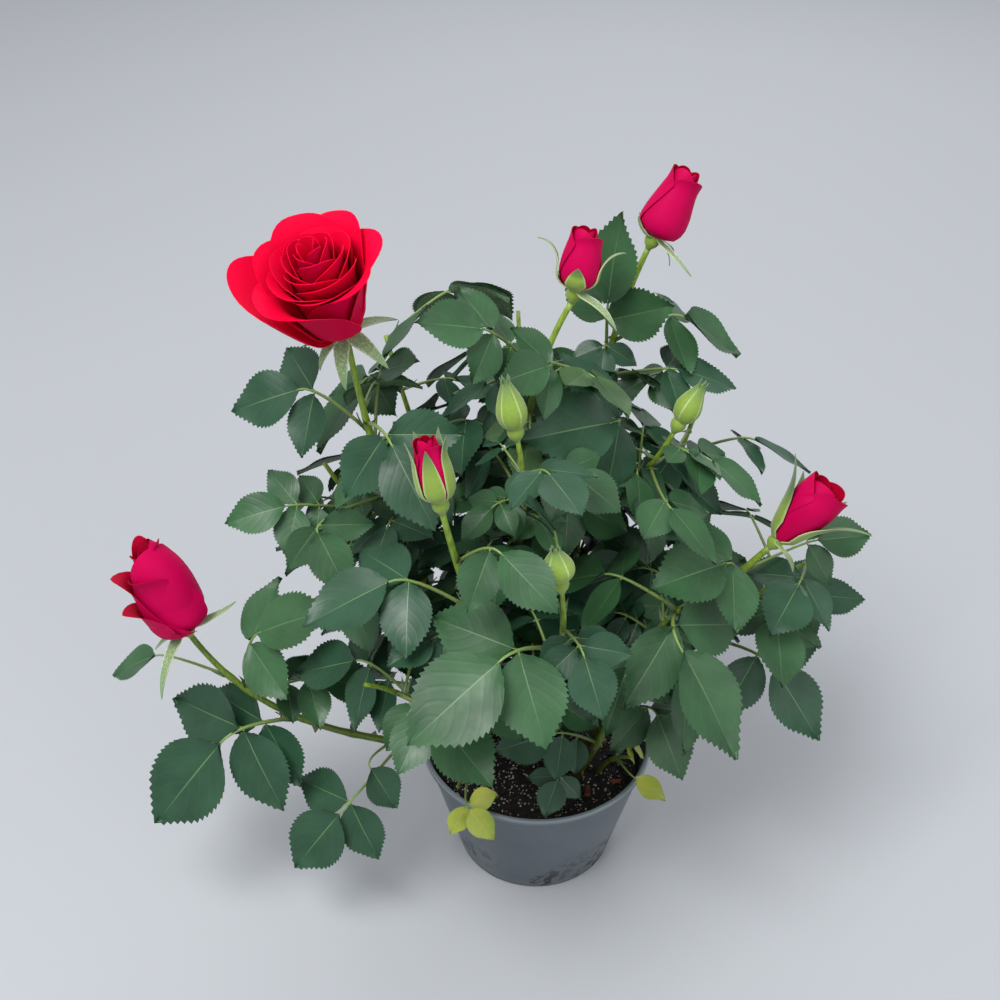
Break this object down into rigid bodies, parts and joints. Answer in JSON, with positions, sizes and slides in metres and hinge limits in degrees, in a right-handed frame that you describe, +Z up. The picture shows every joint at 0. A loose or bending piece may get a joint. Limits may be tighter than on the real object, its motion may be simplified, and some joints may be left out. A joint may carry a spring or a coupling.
{
  "type": "rose bush",
  "caption": "Miniature red rose bush in a tapered round nursery pot, with upright canes, compound leaves, an open rose and pointed buds.",
  "frame": {"origin": "centre of the pot's flat underside", "axes": "+Z up along the pot's axis, -Y towards the side with the two low rim shoots, +X to that side's right"},
  "size_m": [0.3686, 0.2495, 0.3607],
  "materials": {
    "pot_plastic": "satin",
    "potting_soil": "matte",
    "green_bark": "satin",
    "leaf": "satin",
    "yellow_leaf": "satin",
    "petal": "velvety"
  },
  "bodies": {
    "root": {"pot": "pot_plastic", "soil": "potting_soil", "cane_rose": "green_bark", "cane_left": "green_bark", "cane_top_mid": "green_bark", "cane_top_right": "green_bark", "cane_right": "green_bark", "cane_centre": "green_bark", "cane_left_mid": "green_bark", "cane_back_left": "green_bark", "cane_back": "green_bark", "cane_back_right": "green_bark", "cane_front_right": "green_bark", "cane_front_left": "green_bark", "spray_rose": "leaf", "spray_left": "leaf", "spray_top_mid": "leaf", "spray_top_right": "leaf", "spray_right": "leaf", "spray_centre": "leaf", "spray_left_mid": "leaf", "spray_back_left": "leaf", "spray_back": "leaf", "spray_back_right": "leaf", "spray_front_right": "leaf", "spray_front_left": "leaf", "spray_green_a": "leaf", "spray_green_b": "leaf", "spray_green_d": "leaf", "spray_right_low": "leaf", "spray_rim_left": "yellow_leaf", "spray_rim_right": "yellow_leaf", "spray_rim_front": "leaf", "bloom_rose": "petal", "bloom_left": "petal", "bloom_top_right": "petal", "bloom_top_mid": "petal", "bloom_right": "petal", "bloom_centre": "petal"}
  },
  "joints": []
}
